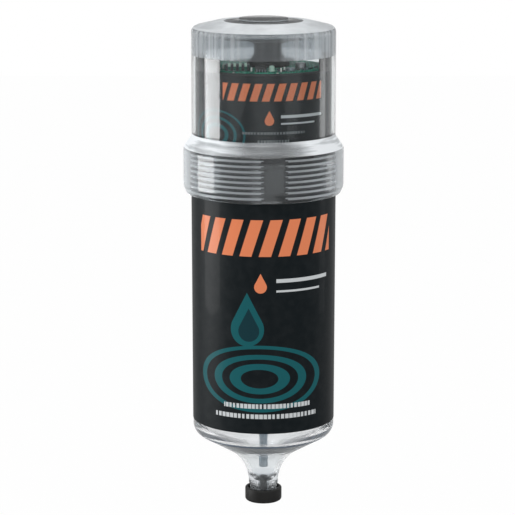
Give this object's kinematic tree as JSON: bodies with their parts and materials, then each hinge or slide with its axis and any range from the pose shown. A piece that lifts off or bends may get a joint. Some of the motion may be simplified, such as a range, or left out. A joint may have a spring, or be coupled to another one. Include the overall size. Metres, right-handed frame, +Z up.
{
  "type": "automatic lubricator",
  "caption": "Motorised single-point grease lubricator: clear screw-on drive cover, battery drive with circuit board, clear canister with piston and lead screw, threaded outlet with plug cap.",
  "frame": {"origin": "centre of the outlet's end face, at the tip of the outlet thread", "axes": "+Z runs up the axis from the outlet to the drive cover, the front faces -Y and +X is to the right seen from the front"},
  "size_m": [0.077, 0.077, 0.2396],
  "materials": {
    "clear_plastic": "clear polished moulding",
    "label_film": "printed film",
    "black_plastic": "moulded black",
    "piston_plastic": "moulded natural",
    "soft_rubber": "matt black rubber",
    "steel": "turned and rolled steel",
    "bronze": "turned bronze and brass",
    "gear_plastic": "moulded natural",
    "magnet": "sintered",
    "cell_sleeve": "plain sleeve",
    "board_green": "solder mask",
    "switch_plastic": "moulded black",
    "white_plastic": "moulded white",
    "lamp_lens": "tinted lens",
    "can_aluminium": "drawn can"
  },
  "bodies": {
    "canister": {"canister": "clear_plastic", "canister_label": "label_film", "drive_housing": "black_plastic", "drive_label": "label_film", "output_bush": "bronze", "shaft_lip_seal": "soft_rubber", "thrust_washer": "steel", "idler_axle_a": "steel", "idler_axle_b": "steel", "axle_clips": "steel", "gearbox_lower_plate": "steel", "gearbox_upper_plate": "steel", "gearbox_pillars": "steel", "motor_can": "steel", "motor_magnet": "magnet", "motor_end_bell": "gear_plastic", "battery_cell_1": "cell_sleeve", "battery_cell_2": "cell_sleeve", "battery_cell_3": "cell_sleeve", "battery_springs": "steel", "battery_contacts": "bronze", "battery_retainer": "gear_plastic", "circuit_board": "board_green", "board_screws": "steel", "switch_block": "switch_plastic", "timer_chip": "black_plastic", "signal_lamp": "lamp_lens", "capacitor": "can_aluminium", "battery_connector": "gear_plastic", "rubber_post": "soft_rubber"},
    "outlet_cap": {"outlet_cap": "black_plastic"},
    "cover_seal": {"cover_seal": "soft_rubber"},
    "drive_cover": {"drive_cover": "clear_plastic", "cover_cushion": "soft_rubber"},
    "piston": {"piston": "piston_plastic", "piston_ring_lower": "soft_rubber", "piston_ring_upper": "soft_rubber", "piston_nut": "bronze"},
    "lead_screw": {"lead_screw": "steel", "output_shaft": "steel", "output_wheel": "gear_plastic"},
    "motor_rotor": {"motor_rotor": "steel", "motor_pinion": "bronze"},
    "idler_a": {"idler_gear_a": "gear_plastic"},
    "idler_b": {"idler_gear_b": "gear_plastic"},
    "switch_slider_1": {"switch_slider_1": "white_plastic"},
    "switch_slider_2": {"switch_slider_2": "white_plastic"},
    "switch_slider_3": {"switch_slider_3": "white_plastic"},
    "switch_slider_4": {"switch_slider_4": "white_plastic"}
  },
  "joints": [
    {"name": "cap_pull", "type": "slide", "parent": "canister", "child": "outlet_cap", "axis": [0, 0, -1], "range_m": [0, 0.045]},
    {"name": "cover_lift", "type": "slide", "parent": "canister", "child": "cover_seal", "axis": [0, 0, 1], "range_m": [0, 0.0176]},
    {"name": "cover_turn", "type": "hinge", "parent": "cover_seal", "child": "drive_cover", "pos_m": [0, 0, 0.16], "axis": [0, 0, 1], "range_deg": [0, 2520]},
    {"name": "motor_spin", "type": "hinge", "parent": "canister", "child": "motor_rotor", "pos_m": [0, 0, 0.165], "axis": [0, 0, 1], "range_deg": [0, 771840]},
    {"name": "idler_a_spin", "type": "hinge", "parent": "canister", "child": "idler_a", "pos_m": [-0.0141, -0.00513, 0.14], "axis": [0, 0, 1], "range_deg": [-192961, 0]},
    {"name": "idler_b_spin", "type": "hinge", "parent": "canister", "child": "idler_b", "pos_m": [-0.0026, -0.01477, 0.14], "axis": [0, 0, 1], "range_deg": [0, 48241]},
    {"name": "screw_turn", "type": "hinge", "parent": "canister", "child": "lead_screw", "pos_m": [0, 0, 0.13], "axis": [0, 0, 1], "range_deg": [-12061, 0]},
    {"name": "piston_travel", "type": "slide", "parent": "canister", "child": "piston", "axis": [0, 0, -1], "range_m": [0, 0.067]},
    {"name": "switch_1_slide", "type": "slide", "parent": "canister", "child": "switch_slider_1", "axis": [0, 1, 0], "range_m": [0, 0.0017]},
    {"name": "switch_2_slide", "type": "slide", "parent": "canister", "child": "switch_slider_2", "axis": [0, 1, 0], "range_m": [0, 0.0017]},
    {"name": "switch_3_slide", "type": "slide", "parent": "canister", "child": "switch_slider_3", "axis": [0, 1, 0], "range_m": [0, 0.0017]},
    {"name": "switch_4_slide", "type": "slide", "parent": "canister", "child": "switch_slider_4", "axis": [0, 1, 0], "range_m": [0, 0.0017]}
  ],
  "couplings": [
    {"joint": "cover_lift", "follows": "cover_turn", "m_per_rad": 0.00039789},
    {"joint": "idler_a_spin", "follows": "motor_spin", "ratio": -0.25},
    {"joint": "idler_b_spin", "follows": "motor_spin", "ratio": 0.0625},
    {"joint": "screw_turn", "follows": "motor_spin", "ratio": -0.015625}
  ]
}
